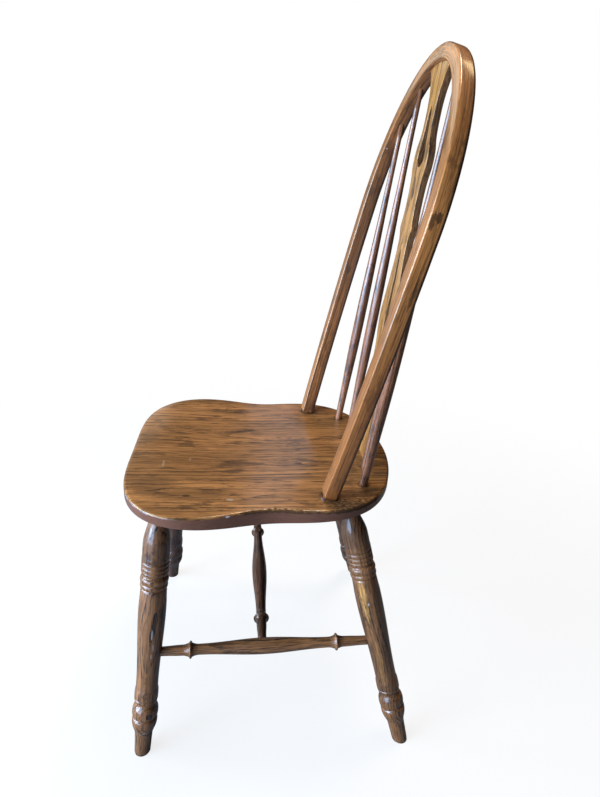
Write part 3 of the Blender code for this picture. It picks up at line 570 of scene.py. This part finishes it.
# The right legs, on the far side, take a copy of the leg oak painted darker as shade.
painted_shade_leg_oak = oak("painted_shade_leg_oak", shadowed, turned_dark, (0.0, 0.0), coat=0.95, glint=cool_glint)
log_places = {("front", 1): (0.034, 0.014, 0.2), ("rear", 1): (0.020, 0.033, 1.1),
              ("front", -1): (-0.031, 0.020, 2.3), ("rear", -1): (0.027, -0.029, 3.4)}
for (row, side), place in log_places.items():
    foot, head = leg_line(row, side)
    profile = leg_profile(REAR_LIFT if row == "rear" else 0.0)
    profile[:, 0] *= np.linalg.norm(head - foot) / SEAT_UNDER
    label = "left" if side == 1 else "right"
    leg = turning(f"turned_leg_{row}_{label}", foot, head, profile, place, level=True)
    leg.data.materials.append(leg_oak if side == 1 else painted_shade_leg_oak)
    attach(leg, "root")
    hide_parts(f"leg_{row}_{label}")

# The stretchers: three oak turnings that tie the legs together. Each side one runs from front
# leg to rear leg, the cross one from side to side between them. They swell in the middle and
# have a thin sharp bead towards each end; their ends are glued into drilled holes.
RAIL_HEIGHTS = {"front": 0.1713, "rear": 0.1777}
RAIL_STOPS = {"front": 0.0015, "rear": 0.0075}
CROSS_PLACE, CROSS_STOP = 0.483, 0.003
RAIL_TENON, BEAD_HALF, BEAD_FLARE = 0.0068, 0.0016, 0.0105
SIDE_SHAPE = {"middle": 0.0120, "waist": 0.0078, "bead_from_end": 0.0598, "peak": 0.0128}
CROSS_SHAPE = {"middle": 0.0130, "waist": 0.0080, "bead_from_end": 0.0535, "peak": 0.0126}


def stretcher_profile(length, middle, waist, bead_from_end, peak):
    """Symmetric turning along its length: a swelled middle, then towards each end a waist, a
    sharp bead between hollow flares, and a tenon."""
    half = length / 2
    bead = half - bead_from_end
    low, high = bead - BEAD_HALF, bead + BEAD_HALF
    right = [(0.0, middle)] + ease(0.0, low - BEAD_FLARE, middle, waist, 18)
    share = np.linspace(0, 1, 9)
    rise = waist + 0.0024 * share ** 1.8
    run = BEAD_FLARE - 0.0006
    right += [(low - 0.0006 - run * (1 - t), radius) for t, radius in zip(share, rise)]
    right += [(low - 0.0003, peak - 0.0018), (low, peak - 0.0010), (bead - 0.0009, peak - 0.0003)]
    right += [(bead, peak)]
    right += [(bead + 0.0009, peak - 0.0003), (high, peak - 0.0010), (high + 0.0003, peak - 0.0018)]
    right += [(high + 0.0006 + run * t, radius) for t, radius in zip(share, rise[::-1])]
    end = high + (half - high) * 0.72
    right += ease(high + BEAD_FLARE, end, waist, RAIL_TENON, 8)
    right += [(end, RAIL_TENON), (half, RAIL_TENON)]
    left = [(-along, radius) for along, radius in reversed(right[1:])]
    profile = np.array(left + right)
    profile[:, 0] += half
    return profile


stretcher_oak = oak("stretcher_oak", turned_light, turned_dark, (0.0, 0.0), ring=0.0030,
                    coat=0.95, haze=0.09, glint=cool_glint)
crossing = {}
for side, label in ((1, "left"), (-1, "right")):
    ends = {}
    for row, height in RAIL_HEIGHTS.items():
        foot, head = leg_line(row, side)
        ends[row] = foot + (head - foot) * height / SEAT_UNDER
    reach = ends["rear"] - ends["front"]
    crossing[side] = ends["front"] + reach * CROSS_PLACE
    reach = reach / np.linalg.norm(reach)
    first = ends["front"] + reach * RAIL_STOPS["front"]
    last = ends["rear"] - reach * RAIL_STOPS["rear"]
    profile = stretcher_profile(np.linalg.norm(last - first), **SIDE_SHAPE)
    rail = turning(f"turned_side_stretcher_{label}", first, last, profile,
                   (0.018, 0.022 * side, 5.0 + side), around=56)
    rail.data.materials.append(stretcher_oak)
    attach(rail, "root")
    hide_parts(f"side_stretcher_{label}")
first, last = crossing[1] - (CROSS_STOP, 0, 0), crossing[-1] + (CROSS_STOP, 0, 0)
profile = stretcher_profile(np.linalg.norm(last - first), **CROSS_SHAPE)
cross = turning("turned_cross_stretcher", first, last, profile, (0.021, -0.017, 8.0), around=56)
# The cross stretcher, under the seat, takes the same darker tone, painted shade.
cross.data.materials.append(oak("cross_stretcher_oak", shadowed, turned_dark, (0.0, 0.0),
                                ring=0.0030, coat=0.95))
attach(cross, "root")
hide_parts("cross_stretcher")

# The bow: one length of straight-grained oak, steamed and bent to a hoop, square in section
# with eased edges. It leans back from the seat, and a round tenon under each foot is glued in
# a hole in the seat.
BOW_LEAN = math.radians(12.8)
BOW_FACE, CROWN_FACE, BOW_THICK, BOW_SPRING = 0.0257, 0.0200, 0.0213, 0.379
BOW_WIDE, BOW_RISE = 0.3764, 0.6002
BOW_FOOT = SEAT_HALF - 0.0530
BOW_FOOT_Y = SEAT_REACH - 0.1155
BOW_HALF = (BOW_WIDE - BOW_FACE) / 2
BOW_CROWN = BOW_RISE - CROWN_FACE / 2 - BOW_SPRING
BOW_EDGES, PEG_RADIUS, PEG_DEPTH = (0.0050, 0.0028, 0.0024, 0.0024), 0.0088, 0.010


def on_bow_plane(x, rise, behind=0.0):
    """Points of the bow's leaning plane, from places across it, up it and behind it."""
    x, rise, behind = np.broadcast_arrays(x, rise, behind)
    y = BOW_FOOT_Y + rise * math.sin(BOW_LEAN) + behind * math.cos(BOW_LEAN) + CHAIR_MIDDLE
    z = SEAT_TOP + rise * math.cos(BOW_LEAN) - behind * math.sin(BOW_LEAN)
    return np.stack([x, y, z], axis=-1)


def bow_line():
    """Centre line across and up the plane: a leg that spreads as 1 - (1 - t)^2, then half
    an ellipse, then the other leg."""
    rise = np.linspace(0, BOW_SPRING, 90, endpoint=False)
    leg = np.stack([BOW_FOOT + (BOW_HALF - BOW_FOOT) * (1 - (1 - rise / BOW_SPRING) ** 2), rise], 1)
    turn = np.linspace(0, math.pi / 2, 110)
    crown = np.stack([BOW_HALF * np.cos(turn), BOW_SPRING + BOW_CROWN * np.sin(turn)], 1)
    side = np.concatenate([leg, crown])
    side[0, 1] = BOW_THICK / 2 * math.tan(BOW_LEAN) + 0.0003
    return np.concatenate([side, (side * (-1, 1))[-2::-1]])


def eased_section(half_u, half_v, roundings, steps=7):
    """Rectangle with quarter-circle corners, anticlockwise from the outer back one, as places
    across and behind."""
    angle = np.radians(np.linspace(-45, 45, steps)[None, :] + 45 + 90 * np.arange(4)[:, None])
    sign_u, sign_v = np.array([1, -1, -1, 1]), np.array([1, 1, -1, -1])
    radius = np.array(roundings)
    u = (sign_u * (half_u - radius))[:, None] + radius[:, None] * np.cos(angle)
    v = (sign_v * (half_v - radius))[:, None] + radius[:, None] * np.sin(angle)
    return u.ravel(), v.ravel()


line = bow_line()
tangent = np.gradient(line, axis=0)
tangent[0], tangent[-1] = (0, 1), (0, -1)
tangent /= np.linalg.norm(tangent, axis=1)[:, None]
outward = np.stack([tangent[:, 1], -tangent[:, 0]], axis=1)
travel = np.concatenate([[0], np.cumsum(np.linalg.norm(np.diff(line, axis=0), axis=1))])
u, v = eased_section(BOW_FACE / 2, BOW_THICK / 2, BOW_EDGES)
narrow = (CROWN_FACE - BOW_FACE) / 2 * np.clip(line[:, 1] - BOW_SPRING, 0, None) / BOW_CROWN
wide = u + np.sign(u) * narrow[:, None]
body = on_bow_plane(line[:, 0, None] + outward[:, 0, None] * wide,
                    line[:, 1, None] + outward[:, 1, None] * wide, v)
peg_u, peg_v = eased_section(PEG_RADIUS, PEG_RADIUS, [PEG_RADIUS] * 4)
pegs = []
for side in (1, -1):
    for depth in (line[0, 1], -PEG_DEPTH):
        pegs.append(on_bow_plane(side * (BOW_FOOT + peg_u), depth, peg_v))
rings = np.concatenate([[pegs[1], pegs[0]], body, [pegs[2], pegs[3]]])
shape = body.shape[:2]
bent = np.stack([np.broadcast_to(u, shape), np.broadcast_to(v, shape),
                 np.broadcast_to(travel[:, None], shape)], axis=2) + (0.045, 0.030, 7.0)
bent = np.concatenate([bent[:1], bent[:1], bent, bent[-1:], bent[-1:]])
bow = mesh_of_rings("bent_bow", rings, bent)
# On the bow's near outer side lie dark soft patches and thin dark lines, and one pale nick on
# its far side.
soot = (0.036, 0.018, 0.012)
bow_wear = [((0.0578, 0.0240, 7.3878), (0.006, 0.0040, 0.013), soot, 0.80, 0),
            ((0.0578, 0.0305, 7.3932), (0.006, 0.0045, 0.007), soot, 0.80, 0),
            ((0.0578, 0.0322, 7.3041), (0.006, 0.0034, 0.022), soot, 0.75, 0),
            ((0.0578, 0.0285, 7.2830), (0.006, 0.0014, 0.016), soot, 0.65, 0),
            ((0.0578, 0.0262, 7.0700), (0.006, 0.0010, 0.046), soot, 0.80, 0),
            ((0.0578, 0.0300, 7.1280), (0.006, 0.0010, 0.036), soot, 0.80, 0),
            ((0.0578, 0.0335, 7.1880), (0.006, 0.0011, 0.042), soot, 0.80, 0),
            ((0.0322, 0.0240, 7.8813), (0.003, 0.0012, 0.0012), (0.7, 0.7, 0.7), 1.0, 0.8)]
# Its inner face, which faces down, is darker with painted shade, its front a little paler with
# a painted sheen, its left foot redder, and its back near black with painted shade.
bow_tones_and_painted_light = ((0, 0.0345, 0.0325, (0.100, 0.048, 0.034), 0.40),
              (1, 0.0212, 0.0200, (0.460, 0.270, 0.130), 0.12),
              (2, 7.3600, 7.1000, (0.270, 0.074, 0.020), 0.38),
              (1, 0.0345, 0.0380, (0.034, 0.016, 0.014), 0.85))
bow.data.materials.append(oak("bow_oak", (0.470, 0.168, 0.045), (0.040, 0.018, 0.011),
                              (0.0, 0.0), ring=0.0031, figure=0.8, coat=0.9, blotch=0.55,
                              lines=0.85, stains_and_painted_light=bow_tones_and_painted_light, marks=bow_wear))
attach(bow, "root")
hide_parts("bow")

# The spindles: four slim oak turnings, two on each side of the splat. They stand in the seat,
# swell in their lower third, and taper to fine ends in holes inside the bow.
SPINDLE_FOOT, SPINDLE_SWELL, SPINDLE_TIP = 0.0060, 0.0083, 0.0041
SPINDLE_PLACES = {"inner": (0.448, 0.450, 0.0470), "outer": (0.789, 0.716, 0.0595)}


def spindle_profile(length):
    """Spindle turning from just inside the seat to its end in the bow."""
    swell, slim = length * 0.33, length * 0.93
    points = [(-0.008, SPINDLE_FOOT), (0.004, SPINDLE_FOOT)]
    points += ease(0.004, swell, SPINDLE_FOOT, SPINDLE_SWELL, 30) + [(swell, SPINDLE_SWELL)]
    points += ease(swell, slim, SPINDLE_SWELL, SPINDLE_TIP, 50)
    points += [(slim, SPINDLE_TIP), (length, SPINDLE_TIP)]
    return np.array(points)


spindle_oak = oak("spindle_oak", (0.340, 0.122, 0.048), turned_dark, (0.0, 0.0), ring=0.0028,
                  figure=0.7, coat=1.0, glint=(0.65, 0.80, 1.0))
for which, (low, high, inset) in SPINDLE_PLACES.items():
    for side, label in ((1, "left"), (-1, "right")):
        foot = np.array((side * BOW_FOOT * low, SEAT_REACH - inset + CHAIR_MIDDLE, SEAT_TOP))
        rise = BOW_SPRING + BOW_CROWN * math.sqrt(1 - high ** 2)
        tip = on_bow_plane(side * BOW_HALF * high, rise)
        stick = turning(f"turned_spindle_{label}_{which}", foot, tip,
                        spindle_profile(np.linalg.norm(tip - foot)),
                        (0.02 * side, 0.025, 10 * low + side), around=40)
        stick.data.materials.append(spindle_oak)
        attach(stick, "root")
        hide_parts(f"spindle_{label}_{which}")

# The splat: a thin oak board, sawn to a fiddle shape and pierced twice, its sawn edges just
# softened. Its foot is let into the seat and its top into the crown of the bow.
SPLAT_THICK, SPLAT_EASE, SPLAT_INSET = 0.010, 0.0010, 0.0390
SPLAT_TENONS = (0.008, 0.003)
SPLAT_SIDE = ((-0.008, 0.0380), (0.000, 0.0380), (0.030, 0.0450), (0.060, 0.0455), (0.100, 0.0355),
              (0.145, 0.0275), (0.175, 0.0290), (0.205, 0.0370), (0.225, 0.0395), (0.250, 0.0350),
              (0.285, 0.0275), (0.325, 0.0215), (0.345, 0.0225), (0.358, 0.0280), (0.372, 0.0245),
              (0.392, 0.0225), (0.425, 0.0250), (0.440, 0.0300), (0.451, 0.0310), (0.463, 0.0290),
              (0.478, 0.0215), (0.500, 0.0180), (0.526, 0.0195), (0.548, 0.0285), (0.5655, 0.0395))
UPPER_HOLE = ((0.4405, 0.0), (0.447, 0.0115), (0.457, 0.0140), (0.468, 0.0115), (0.482, 0.0085),
              (0.500, 0.0065), (0.511, 0.0040), (0.519, 0.0))
LOWER_HOLE = ((0.200, 0.0), (0.206, 0.0060), (0.216, 0.0075), (0.230, 0.0070), (0.262, 0.0055),
              (0.300, 0.0042), (0.322, 0.0025), (0.331, 0.0))


def width_at(stations, height):
    """Smooth half width at a height: cubic runs through the stations, whose slopes are those
    between their neighbours; a run that starts from nothing opens as a rounded end."""
    at, width = np.array(stations).T
    slope = np.gradient(width, at)
    i = np.clip(np.searchsorted(at, height, side="right") - 1, 0, len(at) - 2)
    span = at[i + 1] - at[i]
    t = np.clip((height - at[i]) / span, 0, 1)
    cubic = ((2 * t ** 3 - 3 * t ** 2 + 1) * width[i] + (t ** 3 - 2 * t ** 2 + t) * span * slope[i]
             + (3 * t ** 2 - 2 * t ** 3) * width[i + 1] + (t ** 3 - t ** 2) * span * slope[i + 1])
    opening = width[i + 1] * np.sqrt(t) ** 0.9
    result = np.where((i == 0) & (width[0] == 0), opening, cubic)
    return np.where((height <= at[0]) | (height >= at[-1]), 0 * result if width[0] == 0 else result,
                    result)


def splat_surface():
    """Half of the board at each height is a thin slab from its piercing, or its middle, to
    its side, with edges softened by 1 mm; the other half is its mirror image."""
    crown = on_bow_plane(0, BOW_SPRING + BOW_CROWN - CROWN_FACE / 2, 0.001)
    foot = np.array((0, SEAT_REACH - SPLAT_INSET + CHAIR_MIDDLE, SEAT_TOP))
    up = (crown - foot) / np.linalg.norm(crown - foot)
    back = np.cross((1, 0, 0), up) * -1
    top = np.linalg.norm(crown - foot) + SPLAT_TENONS[1]
    holes = [end for hole in (LOWER_HOLE, UPPER_HOLE) for end in (hole[0][0], hole[-1][0])]
    height = [np.linspace(-SPLAT_TENONS[0], top, 430)]
    for end, way in zip(holes, (1, -1, 1, -1)):
        height.append(end + way * np.array([0, 0.0001, 0.0003, 0.0006, 0.0010, 0.0016, 0.0024]))
    height = np.unique(np.round(np.concatenate(height), 6))
    outer = width_at(SPLAT_SIDE, np.minimum(height, SPLAT_SIDE[-1][0]))
    inner = width_at(UPPER_HOLE, height) + width_at(LOWER_HOLE, height)
    half = SPLAT_THICK / 2
    ease_in = np.minimum(SPLAT_EASE, inner * 0.5)
    turn = np.radians(np.linspace(0, 90, 5))
    rows = len(height)

    def corner(edge, rounding, way, face, angle):
        """One point of every row on a quarter circle between a sawn edge and a face."""
        x = edge + way * rounding * (1 - np.cos(angle))
        y = face * (half - rounding * (1 - np.sin(angle)))
        return np.stack([x + 0 * height, y + 0 * height], axis=1)

    loop = []
    for angle in turn:
        loop.append(corner(inner, ease_in, 1, -1, angle))
    for share in (0.2, 0.4, 0.6, 0.8):
        x = inner + (outer - inner) * share
        loop.append(np.stack([x, 0 * x - half], axis=1))
    for angle in turn[::-1]:
        loop.append(corner(outer, SPLAT_EASE, -1, -1, angle))
    for angle in turn:
        loop.append(corner(outer, SPLAT_EASE, -1, 1, angle))
    for share in (0.8, 0.6, 0.4, 0.2):
        x = inner + (outer - inner) * share
        loop.append(np.stack([x, 0 * x + half], axis=1))
    for angle in turn[::-1]:
        loop.append(corner(inner, ease_in, 1, 1, angle))
    loop = np.stack(loop, axis=1)
    around = loop.shape[1]
    number = np.arange(rows * around).reshape(rows, around)
    quads = np.stack([number[:-1, :-1], number[:-1, 1:], number[1:, 1:], number[1:, :-1]], 2)
    open_row = (inner[:-1] > 0) | (inner[1:] > 0)
    wall = np.stack([number[:-1, -1], number[:-1, 0], number[1:, 0], number[1:, -1]], 1)[open_row]
    faces = np.concatenate([quads.reshape(-1, 4), wall])
    flat = np.concatenate([loop, np.broadcast_to(height[:, None, None], (rows, around, 1))], 2)
    flat = flat.reshape(-1, 3)
    mirrored = flat * (-1, 1, 1)
    flat = np.concatenate([flat, mirrored])
    faces = np.concatenate([faces, faces[:, ::-1] + rows * around])
    caps = [number[0][::-1], number[-1]]
    caps += [cap[::-1] + rows * around for cap in caps]
    placed = foot + flat[:, :1] * (1, 0, 0) + flat[:, 1:2] * back + flat[:, 2:] * up
    return placed, flat, faces.tolist() + [cap.tolist() for cap in caps], back


placed, flat, faces, facing = splat_surface()
splat_mesh = bpy.data.meshes.new("pierced_splat")
splat_mesh.from_pydata(placed.tolist(), [], faces)
splat_mesh.attributes.new("grain", "FLOAT_VECTOR", "POINT").data.foreach_set(
    "vector", (flat + (0.004, 0.034, 20.0)).astype(np.float32).ravel())
work = bmesh.new()
work.from_mesh(splat_mesh)
bmesh.ops.remove_doubles(work, verts=work.verts, dist=0.00002)
bmesh.ops.recalc_face_normals(work, faces=work.faces)
work.to_mesh(splat_mesh)
work.free()
splat_mesh.shade_smooth()
splat_mesh.set_sharp_from_angle(angle=math.radians(50))
splat = bpy.data.objects.new("pierced_splat", splat_mesh)
scene.collection.objects.link(splat)
# Its faces take a lighter copy of the oak, painted light, and its sawn edges a darker copy, painted
# shade.
splat_mesh.materials.append(oak("lit_splat_oak", (0.60, 0.265, 0.070), (0.090, 0.040, 0.018),
                                (0.0, 0.0), ring=0.0036, coat=0.85))
splat_mesh.materials.append(oak("shaded_sawn_edge_oak", (0.210, 0.092, 0.038), (0.040, 0.020, 0.014),
                                (0.0, 0.0), ring=0.0036, coat=0.6, blotch=0.9))
# Faces not turned to the board's front or back are its sawn edges; they take the darker copy,
# painted shade.
normals = np.empty(3 * len(splat_mesh.polygons), np.float32)
splat_mesh.polygons.foreach_get("normal", normals)
sawn = np.abs(normals.reshape(-1, 3) @ facing) < 0.6
splat_mesh.polygons.foreach_set("material_index", sawn.astype(np.int32))
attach(splat, "root")
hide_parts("splat")
